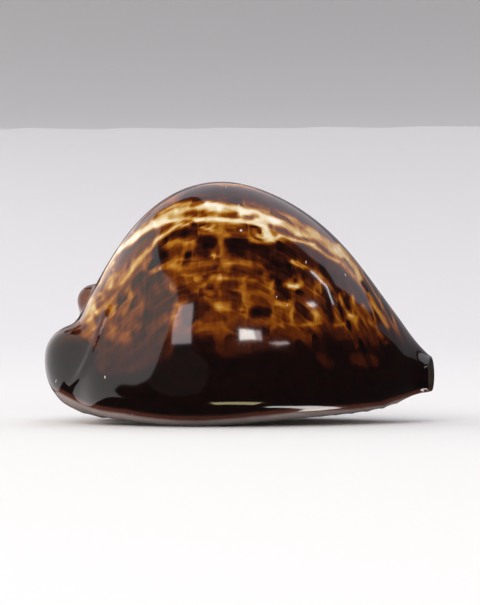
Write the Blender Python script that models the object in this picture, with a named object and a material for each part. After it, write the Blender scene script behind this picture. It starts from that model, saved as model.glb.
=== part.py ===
# A humpbacked cowrie shell, grown in one piece around its own hollow.
# Lengths are in millimetres until the mesh is made, which is in metres. +X is the front end with the open
# canal, -Y the side of the outer lip, +Z the humped back, and the shell rests on the plane Z = 0.
import math

import bpy
import numpy as np

MM = 0.001

# Whole shell
LENGTH = 56.0
HEIGHT = 34.7
HALF_WIDTH = 19.25

# Stations of the body, as shares of the sizes above:
# place along the length, crest, underside, half width, height of the widest line
STATIONS = (
    (-0.464, 0.370, 0.098, 0.44, 0.260),
    (-0.400, 0.508, 0.050, 0.70, 0.216),
    (-0.300, 0.767, 0.018, 0.87, 0.167),
    (-0.200, 0.925, -0.002, 0.97, 0.150),
    (-0.050, 1.000, -0.002, 1.00, 0.144),
    (0.100, 0.934, 0.018, 0.914, 0.150),
    (0.250, 0.756, 0.038, 0.696, 0.161),
    (0.375, 0.501, 0.070, 0.431, 0.179),
    (0.450, 0.347, 0.105, 0.239, 0.200),
    (0.500, 0.268, 0.116, 0.161, 0.190),
)
BODY_END = -26.6  # where the back end of the body closes, between the two lobes
CLOSING_START = -20.0
FLATNESS = 4.0  # how much squarer than an ellipse the underside is
FLATNESS_FADE = (18.0, 27.0)  # the front end is round again
SHOULDER_CUT = 0.03  # how much the sides of the hump are flatter than an ellipse

# Forms at the back end: centre, half length, half width, height above and below the centre, how square
# the form is (2 is an ellipse), how far it leans sideways with height, and how far it melts into the rest
OUTER_LOBE = ((-20.4, -5.6, 9.2), (7.6, 7.2, 5.4, 7.7), 2.4, 0.35, 2.6)
OUTER_FOLD = ((-18.6, -6.3, 12.5), (4.0, 7.0, 7.5, 9.0), 2.0, 0.0, 2.6)
INNER_LOBE = ((-18.8, 7.0, 10.0), (7.0, 6.4, 6.2, 8.4), 2.4, -0.2, 5.0)
SPIRE = ((-21.4, 4.2, 17.4), (2.5, 2.5, 2.5, 2.5), 2.0, 0.0, 2.0)

# Rays that find the outside start on the axis of the inner whorl
FAN_START = -13.0  # behind this place the rays turn towards the back end
POLE_STATION = -37.0
POLE_DIRECTION = (-9.6, -0.7, 3.6)
AXIS_SHARE = (0.38, 0.72)  # height of the axis between underside and crest, in the body and in the canal
AXIS_OFFSET = 2.5
AXIS_TURN = (14.0, 26.0)

# Aperture, along the underside and up the back end: station, middle and width
SLOT_STATIONS = (
    (-37.0, 1.6, 1.0),
    (-30.0, 1.3, 2.0),
    (-22.0, 0.4, 2.4),
    (-10.0, -1.6, 2.8),
    (4.0, -2.0, 3.0),
    (16.0, -1.0, 2.8),
    (28.0, 0.0, 2.4),
)
SLOT_DEPTH = 5.5
SLOT_CORNERS = 0.6  # how square the end of the slot is (1 is round)
SLOT_END = (-35.5, -32.0)  # the notch fades out towards the spire
CANAL_ROOF = 1.3
OUTER_LIP_ROUND = 2.2
INNER_LIP_ROUND = 2.6
FULL_LIP_WIDTH = 10.0  # where the body is slimmer than this to a side, the lips are less rounded
NOTCH_LIPS = (-34.0, -22.0)  # and so they are along the notch
NOTCH_ROUND = 0.5
LIP_STEP = 1.2  # how much shorter the outer lip ends at the canal
LIP_STEP_START = 22.0
RIM_ROUND = 0.3
UNDERSIDE = math.radians(75)  # the aperture lies within this angle to each side of straight down

# Teeth across both lips
TOOTH_PITCH = 2.25
OUTER_TEETH = (-24.75, 22.5)
INNER_TEETH = (-24.75, 20.25)
TOOTH_HEIGHT = 0.45
TOOTH_FADE = 2.0
TOOTH_TOP = 0.675  # where along the lip's curve the teeth are highest

# Hollow
WALL_BACK = 1.4
WALL_BASE = 3.8
WHORL_SHARE = 0.58
WHORL_NARROWING = 0.3
HOLLOW_REACH = math.radians(290)
HOLLOW_START = (-25.0, -14.0)
HOLLOW_STOP = (11.0, 22.0)
HOLLOW_SWELL = 0.25  # share of the way back from the tip over which the hollow widens
HOLLOW_BLEND = 0.4  # how large the hollow is where it has taken over from the plain slot

# Mesh
STEPS_PER_TOOTH = 4
BACK_LOOPS = 14
FRONT_LOOPS = 8
RIM_LOOPS = (0.4, 0.8)
POLE_GAP = 0.8
OUTER_COLUMNS = 26
LIP_COLUMNS = 3
HOLLOW_COLUMNS = 8
FINE_ANGLES = 361
FAR = 60.0
HALVINGS = 40
TINY = 1e-6


def smooth(start, stop, at):
    """A soft step from 0 at start to 1 at stop."""
    share = np.clip((at - start) / (stop - start), 0.0, 1.0)
    return share * share * (3.0 - 2.0 * share)


def cubic_curve(places, values):
    """The smooth curve through the given stations, as a function of the place."""
    places = np.asarray(places, float)
    values = np.asarray(values, float)
    gaps = np.diff(places)
    bends = np.zeros(len(places))
    matrix = np.diag(2.0 * (gaps[:-1] + gaps[1:])) + np.diag(gaps[1:-1], 1) + np.diag(gaps[1:-1], -1)
    bends[1:-1] = np.linalg.solve(matrix, 6.0 * np.diff(np.diff(values) / gaps))

    def read(at):
        i = np.clip(np.searchsorted(places, at) - 1, 0, len(gaps) - 1)
        at = np.clip(at, places[0], places[-1])
        left = at - places[i]
        right = places[i + 1] - at
        bent = (bends[i] * right**3 + bends[i + 1] * left**3) / (6.0 * gaps[i])
        low = (values[i] / gaps[i] - bends[i] * gaps[i] / 6.0) * right
        high = (values[i + 1] / gaps[i] - bends[i + 1] * gaps[i] / 6.0) * left
        return bent + low + high

    return read


def station_curve(column, size):
    return cubic_curve([row[0] * LENGTH for row in STATIONS], [row[column] * size for row in STATIONS])


crest = station_curve(1, HEIGHT)
underside = station_curve(2, HEIGHT)
half_width = station_curve(3, HALF_WIDTH)
widest_line = station_curve(4, HEIGHT)
slot_middle = cubic_curve([row[0] for row in SLOT_STATIONS], [row[1] for row in SLOT_STATIONS])
slot_width = cubic_curve([row[0] for row in SLOT_STATIONS], [row[2] for row in SLOT_STATIONS])


def melt(first, second, width):
    """The smaller of two distances, rounded where they are alike."""
    near = np.clip(1.0 - np.abs(first - second) / width, 0.0, None)
    return np.minimum(first, second) - width * near**3 / 6.0


def body_distance(point):
    """About how far a point is outside the humped body, without its lobes and spire."""
    x, y, z = point[..., 0], point[..., 1], point[..., 2]
    near_end = np.clip((CLOSING_START - x) / (CLOSING_START - BODY_END), 0.0, 1.0)
    closing = np.sqrt(np.maximum(1.0 - near_end**2, TINY))
    middle = widest_line(x)
    rise = z - middle
    height = np.where(rise > 0.0, crest(x) - middle, middle - underside(x)) * closing
    up = rise / height
    across = np.abs(y) / (half_width(x) * closing)
    power = 2.0 + FLATNESS * np.clip(-up, 0.0, 1.0) * (1.0 - smooth(*FLATNESS_FADE, x))
    share = np.sqrt(across**power + up**2)
    corner = 4.0 * across**2 * up**2 / np.maximum(across**2 + up**2, TINY) ** 2
    share = share / (1.0 - SHOULDER_CUT * corner * (rise > 0.0))
    reach = np.hypot(y, rise)
    return reach - reach / np.maximum(share, TINY) + np.maximum(BODY_END - x, 0.0)


def egg_distance(point, centre, half_sizes, power, lean):
    """About how far a point is outside an egg whose upper and lower halves differ."""
    away = point - np.array(centre)
    away[..., 1] += lean * away[..., 2]
    half_length, half_breadth, above, below = half_sizes
    reach = np.linalg.norm(away, axis=-1)
    along = np.abs(away[..., 0]) / half_length
    across = np.abs(away[..., 1]) / half_breadth
    up = np.where(away[..., 2] > 0.0, away[..., 2] / above, -away[..., 2] / below)
    share = (along**power + across**power + up**power) ** (1.0 / power)
    return reach - reach / np.maximum(share, TINY)


def outside(point):
    """About how far a point is outside the shell's outer form: negative inside it."""
    distance = body_distance(point)
    for *form, width in (OUTER_LOBE, OUTER_FOLD, INNER_LOBE, SPIRE):
        distance = melt(distance, egg_distance(point, *form), width)
    return distance


def axis_point(station):
    """Where the rays of a station start."""
    x = max(station, FAN_START)
    turn = smooth(*AXIS_TURN, x)
    share = AXIS_SHARE[0] + (AXIS_SHARE[1] - AXIS_SHARE[0]) * turn
    z = underside(x) + share * (crest(x) - underside(x))
    return np.array([x, AXIS_OFFSET * (1.0 - turn), z])


def ray_directions(station, angles):
    """Unit vectors around the axis: angle 0 points down, a quarter turn points to the outer-lip side."""
    tilt = np.clip((FAN_START - station) / (FAN_START - POLE_STATION), 0.0, 1.0) * math.pi / 2.0
    pole = np.array(POLE_DIRECTION) / np.linalg.norm(POLE_DIRECTION)
    upright = np.stack([np.zeros_like(angles), -np.sin(angles), -np.cos(angles)], axis=-1)
    directions = math.cos(tilt) * upright + math.sin(tilt) * pole
    return directions / np.linalg.norm(directions, axis=-1, keepdims=True)


def reach_outside(origin, directions):
    """How far each ray goes before it leaves the shell."""
    low = np.zeros(directions.shape[:-1])
    high = np.full(directions.shape[:-1], FAR)
    for _ in range(HALVINGS):
        middle = (low + high) / 2.0
        inside = outside(origin + middle[..., None] * directions) < 0.0
        low = np.where(inside, middle, low)
        high = np.where(inside, high, middle)
    return low


def on_ground(points):
    """The points with what reaches below the resting plane pressed flat onto it."""
    points = np.array(points)
    points[..., 2] = np.maximum(points[..., 2], 0.0)
    return points


def between(points, places, at):
    """Points read off a line of points at the given places along it."""
    return np.stack([np.interp(at, places, points[:, k]) for k in range(3)], axis=-1)


def way_along(points):
    """How far along a line each of its points lies, from 0 at its start to 1 at its end."""
    lengths = np.linalg.norm(np.diff(points, axis=0), axis=1)
    places = np.concatenate([[0.0], np.cumsum(lengths)])
    return places / places[-1]


def column_places(points, columns):
    """Where columns stand along a line, so that they are closer where it bends."""
    places = way_along(points)
    ways = np.diff(points, axis=0)
    ways /= np.linalg.norm(ways, axis=1, keepdims=True)
    turns = np.concatenate([[0.0], np.cumsum(np.linalg.norm(np.diff(ways, axis=0), axis=1)), [0.0]])
    turns[-1] = turns[-2]
    measure = places + turns / turns[-1]
    return np.interp(np.linspace(0.0, measure[-1], columns + 1), measure, places)


def tooth_ridge(station, teeth, shift):
    """Height of the teeth at a station, from 0 in a gap to 1 on a ridge."""
    first, last = teeth
    ridge = 0.5 + 0.5 * math.cos(2.0 * math.pi * ((station - first) / TOOTH_PITCH + shift))
    begun = smooth(first - TOOTH_FADE, first, station)
    ended = smooth(last, last + TOOTH_FADE, station)
    return ridge * begun * (1.0 - ended)


def lip(start, way, edge_y, inward, rounding, ridge, columns):
    """The rounded lip from the underside to the wall of the slot, with its tooth standing proud."""
    corner = start + way * ((edge_y - start[1]) / way[1])
    end = corner + inward * rounding
    share = np.linspace(0.0, 1.0, columns + 1)[1:, None]
    points = (1.0 - share) ** 2 * start + 2.0 * share * (1.0 - share) * corner + share**2 * end
    normals = (1.0 - share) * -inward + share * way
    normals /= np.linalg.norm(normals, axis=1, keepdims=True)
    return points + normals * (TOOTH_HEIGHT * ridge * np.sin(math.pi / 2.0 * share / TOOTH_TOP))


def hollow(station, axis, angles, reaches, inner_end, outer_end, inward, rounding, columns):
    """The inside from the inner lip, round the inner whorl and back along the wall to the outer lip."""
    size = float(smooth(*HOLLOW_START, station) * (1.0 - smooth(*HOLLOW_STOP, station)))
    share = np.linspace(0.0, 1.0, columns + 2)[1:-1]
    depth = min(SLOT_DEPTH, crest(axis[0]) - underside(axis[0]) - CANAL_ROOF)
    turn = math.pi * share
    sideways = 0.5 - 0.5 * np.sign(np.cos(turn)) * np.abs(np.cos(turn)) ** SLOT_CORNERS
    deep = np.sin(turn) ** SLOT_CORNERS * max(depth - rounding, 0.0)
    slot = inner_end + sideways[:, None] * (outer_end - inner_end) + deep[:, None] * inward
    if size == 0.0:
        return slot
    down = np.interp(0.0, angles, reaches)
    radius = WHORL_SHARE * down
    entry = math.asin(np.clip((axis[1] - slot_middle(station)) / radius, -0.9, 0.9))
    half_gap = slot_width(station) / 2.0 / radius
    tip = entry + half_gap + size**0.7 * (HOLLOW_REACH - entry)
    there = np.clip(share * 2.0, 0.0, 1.0)
    back = np.clip(share * 2.0 - 1.0, 0.0, 1.0)
    around = (entry - half_gap) + there * (tip - entry + half_gap) - back * (tip - entry - half_gap)
    whorl = radius * (1.0 - WHORL_NARROWING * (0.5 - 0.5 * np.cos(around - entry)))
    wall = WALL_BACK + (WALL_BASE - WALL_BACK) * (0.5 + 0.5 * np.cos(around))
    outer = np.interp((around + math.pi) % (2.0 * math.pi) - math.pi, angles, reaches)
    swell = size * smooth(0.0, HOLLOW_SWELL, back)
    distance = whorl + swell * np.maximum(outer - wall - whorl, 0.0)
    crescent = axis + ray_directions(station, around) * distance[:, None]
    return slot + (crescent - slot) * smooth(0.0, HOLLOW_BLEND, size)


def loop(station, column_shares):
    """One closed line round the shell's wall: outside from lip to lip, then back through the inside."""
    axis = axis_point(station)
    angles = np.linspace(-math.pi, math.pi, FINE_ANGLES)
    directions = ray_directions(station, angles)
    reaches = reach_outside(axis, directions)
    outline = on_ground(axis + reaches[:, None] * directions)

    slim = min(1.0, float(half_width(axis[0])) / FULL_LIP_WIDTH)
    slim *= NOTCH_ROUND + (1.0 - NOTCH_ROUND) * float(smooth(*NOTCH_LIPS, station))
    outer_round = OUTER_LIP_ROUND * slim
    inner_round = INNER_LIP_ROUND * slim
    low = np.abs(angles) < UNDERSIDE
    outer_edge = slot_middle(station) - slot_width(station) / 2.0
    inner_edge = slot_middle(station) + slot_width(station) / 2.0
    outer_angle = np.interp(outer_round - outer_edge, -outline[low, 1], angles[low])
    inner_angle = np.interp(-inner_round - inner_edge, -outline[low, 1], angles[low])

    unrolled = np.concatenate([angles[:-1], angles + 2.0 * math.pi])
    doubled = np.concatenate([outline[:-1], outline])
    kept = (unrolled > outer_angle) & (unrolled < inner_angle + 2.0 * math.pi)
    outer_start = between(outline, angles, outer_angle)
    inner_start = between(outline, angles, inner_angle)
    back = np.vstack([outer_start, doubled[kept], inner_start])
    if column_shares is None:
        return column_places(back, OUTER_COLUMNS)
    outer = between(back, way_along(back), column_shares)

    slot_angle = np.interp(-slot_middle(station), -outline[low, 1], angles[low])
    inward = axis - between(outline, angles, slot_angle)
    inward[1] = 0.0
    inward /= np.linalg.norm(inward)
    step = math.radians(2)
    outer_way = outer_start - between(outline, angles, outer_angle + step)
    inner_way = inner_start - between(outline, angles, inner_angle - step)
    outer_lip = lip(
        outer_start,
        outer_way / np.linalg.norm(outer_way),
        outer_edge,
        inward,
        outer_round,
        tooth_ridge(station, OUTER_TEETH, 0.0),
        LIP_COLUMNS,
    )
    inner_lip = lip(
        inner_start,
        inner_way / np.linalg.norm(inner_way),
        inner_edge,
        inward,
        inner_round,
        tooth_ridge(station, INNER_TEETH, 0.5),
        LIP_COLUMNS,
    )
    inside = hollow(
        station, axis, angles, reaches, inner_lip[-1], outer_lip[-1], inward, outer_round, HOLLOW_COLUMNS
    )
    cut_in = np.vstack([inner_lip, inside, outer_lip[::-1]])
    share = np.linspace(inner_angle, outer_angle, len(cut_in) + 2)[1:-1]
    uncut = between(outline, angles, share)
    cut_in = uncut + (cut_in - uncut) * smooth(*SLOT_END, station)
    points = np.vstack([outer, cut_in])
    cut = LIP_STEP * smooth(LIP_STEP_START, LENGTH / 2.0, station)
    points[:, 0] -= cut * (0.5 - points[:, 1] / (2.0 * half_width(LENGTH / 2.0)))
    return on_ground(points)


def rim(points, share):
    """The front loop drawn in towards the middle of its wall, for the rounded rim."""
    ahead = np.roll(points, -1, axis=0) - np.roll(points, 1, axis=0)
    into = np.stack([np.zeros(len(points)), ahead[:, 2], -ahead[:, 1]], axis=-1)
    into /= np.maximum(np.linalg.norm(into, axis=1, keepdims=True), TINY)
    turn = share * math.pi / 2.0
    moved = points + into * (RIM_ROUND * (1.0 - math.cos(turn)))
    moved[:, 0] += RIM_ROUND * math.sin(turn)
    return moved


def station_places():
    """Where the loops stand, from the back end to the front."""
    back = np.linspace(POLE_STATION + POLE_GAP, OUTER_TEETH[0], BACK_LOOPS)
    steps = int(round((OUTER_TEETH[1] - OUTER_TEETH[0]) / TOOTH_PITCH)) * STEPS_PER_TOOTH
    toothed = np.linspace(OUTER_TEETH[0], OUTER_TEETH[1], steps + 1)
    front = np.linspace(OUTER_TEETH[1], LENGTH / 2.0 - RIM_ROUND, FRONT_LOOPS)
    return np.concatenate([back[:-1], toothed, front[1:]])


def shell_mesh():
    column_shares = loop(0.0, None)
    loops = [loop(station, column_shares) for station in station_places()]
    loops += [rim(loops[-1], share) for share in RIM_LOOPS]
    axis = axis_point(POLE_STATION)
    pole_way = ray_directions(POLE_STATION, np.zeros(1))
    pole = axis + reach_outside(axis, pole_way)[:, None] * pole_way
    width = len(loops[0])
    points = np.vstack(loops + [pole])
    faces = []
    for row in range(len(loops) - 1):
        for column in range(width):
            here = row * width + column
            beside = row * width + (column + 1) % width
            faces.append((here, here + width, beside + width, beside))
    last = len(points) - 1
    faces += [(last, column, (column + 1) % width) for column in range(width)]
    faces.append(tuple((len(loops) - 1) * width + column for column in reversed(range(width))))
    mesh = bpy.data.meshes.new("shell")
    mesh.from_pydata((points * MM).tolist(), [], faces)
    mesh.shade_smooth()
    return mesh


def shell_material():
    """Dark red-brown glaze."""
    material = bpy.data.materials.new("shell_glaze")
    material.use_nodes = True
    surface = material.node_tree.nodes["Principled BSDF"]
    surface.inputs["Base Color"].default_value = (0.13, 0.045, 0.012, 1.0)
    surface.inputs["Roughness"].default_value = 0.12
    surface.inputs["Metallic"].default_value = 0.0
    return material


for thing in list(bpy.data.objects):
    bpy.data.objects.remove(thing)

shell = bpy.data.objects.new("shell", shell_mesh())
shell.data.materials.append(shell_material())
bpy.context.scene.collection.objects.link(shell)
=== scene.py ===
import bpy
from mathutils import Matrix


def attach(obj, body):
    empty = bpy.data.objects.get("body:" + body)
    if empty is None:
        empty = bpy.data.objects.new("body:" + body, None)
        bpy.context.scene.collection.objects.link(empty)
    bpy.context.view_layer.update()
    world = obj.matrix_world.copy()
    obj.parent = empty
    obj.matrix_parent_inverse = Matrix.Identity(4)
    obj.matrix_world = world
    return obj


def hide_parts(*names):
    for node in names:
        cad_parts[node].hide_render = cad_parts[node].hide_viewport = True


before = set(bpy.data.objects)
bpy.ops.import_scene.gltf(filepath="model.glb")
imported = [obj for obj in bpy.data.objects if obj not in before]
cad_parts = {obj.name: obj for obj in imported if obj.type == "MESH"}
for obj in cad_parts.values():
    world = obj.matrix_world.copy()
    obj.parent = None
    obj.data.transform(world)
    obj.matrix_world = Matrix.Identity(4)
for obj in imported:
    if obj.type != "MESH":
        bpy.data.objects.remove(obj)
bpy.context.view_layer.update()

import math

import bpy
import numpy as np
from mathutils import Vector, noise

# The shell's outer form
# The animal lays the shell down as one wall of glassy mineral. The last whorl wraps all the others into an
# egg with a high hump, drawn out into a canal in front and swollen into two lobes and a small spire behind.
MM = 0.001
LENGTH = 56.0
HEIGHT = 34.7
HALF_WIDTH = 19.25

# Stations of the body, as shares of the sizes above:
# place along the length, crest, underside, half width, height of the widest line
STATIONS = (
    (-0.464, 0.370, 0.098, 0.44, 0.260),
    (-0.400, 0.508, 0.050, 0.70, 0.216),
    (-0.300, 0.767, 0.018, 0.87, 0.167),
    (-0.200, 0.925, -0.002, 0.97, 0.150),
    (-0.050, 1.000, -0.002, 1.00, 0.144),
    (0.100, 0.934, 0.018, 0.914, 0.150),
    (0.250, 0.756, 0.038, 0.696, 0.161),
    (0.375, 0.501, 0.070, 0.431, 0.179),
    (0.450, 0.347, 0.105, 0.239, 0.200),
    (0.500, 0.268, 0.116, 0.161, 0.190),
)
BODY_END = -26.6  # where the back end of the body closes, between the two lobes
CLOSING_START = -20.0
FLATNESS = 4.0  # how much squarer than an ellipse the underside is
FLATNESS_FADE = (18.0, 27.0)  # the front end is round again
SHOULDER_CUT = 0.03  # how much the sides of the hump are flatter than an ellipse

# Forms at the back end: centre, half length, half width, height above and below the centre, how square
# the form is (2 is an ellipse), how far it leans sideways with height, and how far it melts into the rest
OUTER_LOBE = ((-20.4, -5.6, 9.2), (7.6, 7.2, 5.4, 7.7), 2.4, 0.35, 2.6)
OUTER_FOLD = ((-18.6, -6.3, 12.5), (4.0, 7.0, 7.5, 9.0), 2.0, 0.0, 2.6)
INNER_LOBE = ((-18.8, 7.0, 10.0), (7.0, 6.4, 6.2, 8.4), 2.4, -0.2, 5.0)
SPIRE = ((-21.4, 4.2, 17.4), (2.5, 2.5, 2.5, 2.5), 2.0, 0.0, 2.0)

# Rays that find the outside start on the axis of the inner whorl
FAN_START = -13.0  # behind this place the rays turn towards the back end
POLE_STATION = -37.0
POLE_DIRECTION = (-9.6, -0.7, 3.6)
AXIS_SHARE = (0.38, 0.72)  # height of the axis between underside and crest, in the body and in the canal
AXIS_OFFSET = 2.5
AXIS_TURN = (14.0, 26.0)
FAR = 60.0
HALVINGS = 34
TINY = 1e-6


def smooth(start, stop, at):
    """A soft step from 0 at start to 1 at stop."""
    share = np.clip((at - start) / (stop - start), 0.0, 1.0)
    return share * share * (3.0 - 2.0 * share)


def cubic_curve(places, values):
    """The smooth curve through the given stations, as a function of the place."""
    places = np.asarray(places, float)
    values = np.asarray(values, float)
    gaps = np.diff(places)
    bends = np.zeros(len(places))
    matrix = np.diag(2.0 * (gaps[:-1] + gaps[1:])) + np.diag(gaps[1:-1], 1) + np.diag(gaps[1:-1], -1)
    bends[1:-1] = np.linalg.solve(matrix, 6.0 * np.diff(np.diff(values) / gaps))

    def read(at):
        i = np.clip(np.searchsorted(places, at) - 1, 0, len(gaps) - 1)
        at = np.clip(at, places[0], places[-1])
        left = at - places[i]
        right = places[i + 1] - at
        bent = (bends[i] * right**3 + bends[i + 1] * left**3) / (6.0 * gaps[i])
        low = (values[i] / gaps[i] - bends[i] * gaps[i] / 6.0) * right
        high = (values[i + 1] / gaps[i] - bends[i + 1] * gaps[i] / 6.0) * left
        return bent + low + high

    return read


def table_curve(table, column, length=1.0, size=1.0):
    """The smooth curve through one column of a table of stations."""
    return cubic_curve([row[0] * length for row in table], [row[column] * size for row in table])


crest = table_curve(STATIONS, 1, LENGTH, HEIGHT)
underside = table_curve(STATIONS, 2, LENGTH, HEIGHT)
half_width = table_curve(STATIONS, 3, LENGTH, HALF_WIDTH)
widest_line = table_curve(STATIONS, 4, LENGTH, HEIGHT)


def melt(first, second, width):
    """The smaller of two distances, rounded where they are alike."""
    near = np.clip(1.0 - np.abs(first - second) / width, 0.0, None)
    return np.minimum(first, second) - width * near**3 / 6.0


def body_distance(point):
    """About how far a point is outside the humped body, without its lobes and spire."""
    x, y, z = point[..., 0], point[..., 1], point[..., 2]
    near_end = np.clip((CLOSING_START - x) / (CLOSING_START - BODY_END), 0.0, 1.0)
    closing = np.sqrt(np.maximum(1.0 - near_end**2, TINY))
    middle = widest_line(x)
    rise = z - middle
    height = np.where(rise > 0.0, crest(x) - middle, middle - underside(x)) * closing
    up = rise / height
    across = np.abs(y) / (half_width(x) * closing)
    power = 2.0 + FLATNESS * np.clip(-up, 0.0, 1.0) * (1.0 - smooth(*FLATNESS_FADE, x))
    share = np.sqrt(across**power + up**2)
    corner = 4.0 * across**2 * up**2 / np.maximum(across**2 + up**2, TINY) ** 2
    share = share / (1.0 - SHOULDER_CUT * corner * (rise > 0.0))
    reach = np.hypot(y, rise)
    return reach - reach / np.maximum(share, TINY) + np.maximum(BODY_END - x, 0.0)


def egg_distance(point, centre, half_sizes, power, lean):
    """About how far a point is outside an egg whose upper and lower halves differ."""
    away = point - np.array(centre)
    away[..., 1] += lean * away[..., 2]
    half_length, half_breadth, above, below = half_sizes
    reach = np.linalg.norm(away, axis=-1)
    along = np.abs(away[..., 0]) / half_length
    across = np.abs(away[..., 1]) / half_breadth
    up = np.where(away[..., 2] > 0.0, away[..., 2] / above, -away[..., 2] / below)
    share = (along**power + across**power + up**power) ** (1.0 / power)
    return reach - reach / np.maximum(share, TINY)


def outside(point):
    """About how far a point is outside the shell's outer form: negative inside it."""
    distance = body_distance(point)
    for *form, width in (OUTER_LOBE, OUTER_FOLD, INNER_LOBE, SPIRE):
        distance = melt(distance, egg_distance(point, *form), width)
    return distance


def axis_point(station):
    """Where the rays of a station start."""
    x = max(station, FAN_START)
    turn = smooth(*AXIS_TURN, x)
    share = AXIS_SHARE[0] + (AXIS_SHARE[1] - AXIS_SHARE[0]) * turn
    z = underside(x) + share * (crest(x) - underside(x))
    return np.array([x, AXIS_OFFSET * (1.0 - turn), z])


def ray_directions(station, angles):
    """Unit vectors around the axis: angle 0 points down, a quarter turn points to the outer-lip side."""
    tilt = np.clip((FAN_START - station) / (FAN_START - POLE_STATION), 0.0, 1.0) * math.pi / 2.0
    pole = np.array(POLE_DIRECTION) / np.linalg.norm(POLE_DIRECTION)
    upright = np.stack([np.zeros_like(angles), -np.sin(angles), -np.cos(angles)], axis=-1)
    directions = math.cos(tilt) * upright + math.sin(tilt) * pole
    return directions / np.linalg.norm(directions, axis=-1, keepdims=True)


def reach_outside(origin, directions):
    """How far each ray goes before it leaves the shell."""
    low = np.zeros(directions.shape[:-1])
    high = np.full(directions.shape[:-1], FAR)
    for _ in range(HALVINGS):
        middle = (low + high) / 2.0
        inside = outside(origin + middle[..., None] * directions) < 0.0
        low = np.where(inside, middle, low)
        high = np.where(inside, high, middle)
    return low


# The aperture, its lips and the hollow
# The shell's mouth is a long slot under the base. Both its lips roll inwards, and behind them the hollow
# winds once round the inner whorl, between it and the thin wall of the back.
SLOT_STATIONS = (  # station, middle and width
    (-37.0, 1.6, 1.0),
    (-30.0, 1.3, 2.0),
    (-22.0, 0.4, 2.4),
    (-10.0, -1.6, 2.8),
    (4.0, -2.0, 3.0),
    (16.0, -1.0, 2.8),
    (28.0, 0.0, 2.4),
)
slot_middle = table_curve(SLOT_STATIONS, 1)
slot_width = table_curve(SLOT_STATIONS, 2)
SLOT_DEPTH = 5.5
SLOT_CORNERS = 0.6  # how square the end of the slot is (1 is round)
SLOT_END = (-35.5, -32.0)  # the notch fades out towards the spire
CANAL_ROOF = 1.3
OUTER_LIP_ROUND = 2.2
INNER_LIP_ROUND = 2.6
FULL_LIP_WIDTH = 10.0  # where the body is slimmer than this to a side, the lips are less rounded
NOTCH_LIPS = (-34.0, -22.0)  # and so they are along the notch
NOTCH_ROUND = 0.5
LIP_STEP = 1.2  # how much shorter the outer lip ends at the canal
LIP_STEP_START = 22.0
RIM_ROUND = 0.3
UNDERSIDE = math.radians(75)  # the aperture lies within this angle to each side of straight down
WALL_BACK = 1.4
WALL_BASE = 3.8
WHORL_SHARE = 0.58
WHORL_NARROWING = 0.3
HOLLOW_REACH = math.radians(290)
HOLLOW_START = (-25.0, -14.0)
HOLLOW_STOP = (11.0, 22.0)
HOLLOW_SWELL = 0.25  # share of the way back from the tip over which the hollow widens
HOLLOW_BLEND = 0.4  # how large the hollow is where it has taken over from the plain slot
HOLLOW_GROWTH = 0.7  # how evenly the hollow winds further round as it grows (1 is evenly)
ENTRY_LIMIT = 0.9  # the slot meets the whorl no farther aside than this share of its radius
LIP_TURN = math.radians(2)  # how far from a lip's edge its direction is read

# How fine the surface is
LOOPS = 252
FRONT_CROWDING = 0.35  # how much closer the loops stand at the two ends
RIM_LOOPS = (0.25, 0.5, 0.75, 0.95)
POLE_GAP = 0.25
OUTER_COLUMNS = 290
BEND_CROWDING = 0.5  # how much closer the columns stand where the surface bends
LIP_COLUMNS = 16
HOLLOW_COLUMNS = 46
FINE_ANGLES = 721
TOOTH_REACH = 3.2  # how far the teeth run out onto the base beside the lips
TOOTH_RISE = 0.18  # how high the teeth already are where the lip's curve begins
TOOTH_TOP = 0.675  # where along the lip's curve the teeth are highest


def on_ground(points):
    """The points with what reaches below the resting plane pressed flat onto it."""
    points = np.array(points)
    points[..., 2] = np.maximum(points[..., 2], 0.0)
    return points


def between(points, places, at):
    """Points read off a line of points at the given places along it."""
    return np.stack([np.interp(at, places, points[:, k]) for k in range(3)], axis=-1)


def way_along(points):
    """How far along a line each of its points lies, in millimetres."""
    lengths = np.linalg.norm(np.diff(points, axis=0), axis=1)
    return np.concatenate([[0.0], np.cumsum(lengths)])


def column_places(points, columns):
    """Where columns stand along a line, so that they are closer where it bends."""
    places = way_along(points)
    places /= places[-1]
    ways = np.diff(points, axis=0)
    ways /= np.linalg.norm(ways, axis=1, keepdims=True)
    turns = np.concatenate([[0.0], np.cumsum(np.linalg.norm(np.diff(ways, axis=0), axis=1)), [0.0]])
    turns[-1] = turns[-2]
    measure = places + BEND_CROWDING * turns / turns[-1]
    return np.interp(np.linspace(0.0, measure[-1], columns + 1), measure, places)


def lip_start(station, side, rounding, outline, angles, low):
    """Where the outer lip (side -1) or the inner lip (side 1) begins on the underside.

    Gives the place of its edge at the slot, its angle round the axis, its point and its direction."""
    edge = slot_middle(station) + side * slot_width(station) / 2.0
    angle = np.interp(-(side * rounding + edge), -outline[low, 1], angles[low])
    start = between(outline, angles, angle)
    way = start - between(outline, angles, angle - side * LIP_TURN)
    return edge, angle, start, way / np.linalg.norm(way)


def lip(start, way, edge_y, inward, rounding, columns):
    """The rounded lip from the underside to the wall of the slot, and the way its teeth stand proud."""
    corner = start + way * ((edge_y - start[1]) / way[1])
    end = corner + inward * rounding
    share = np.linspace(0.0, 1.0, columns + 1)[1:, None]
    points = (1.0 - share) ** 2 * start + 2.0 * share * (1.0 - share) * corner + share**2 * end
    normals = (1.0 - share) * -inward + share * way
    return points, normals / np.linalg.norm(normals, axis=1, keepdims=True)


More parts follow.
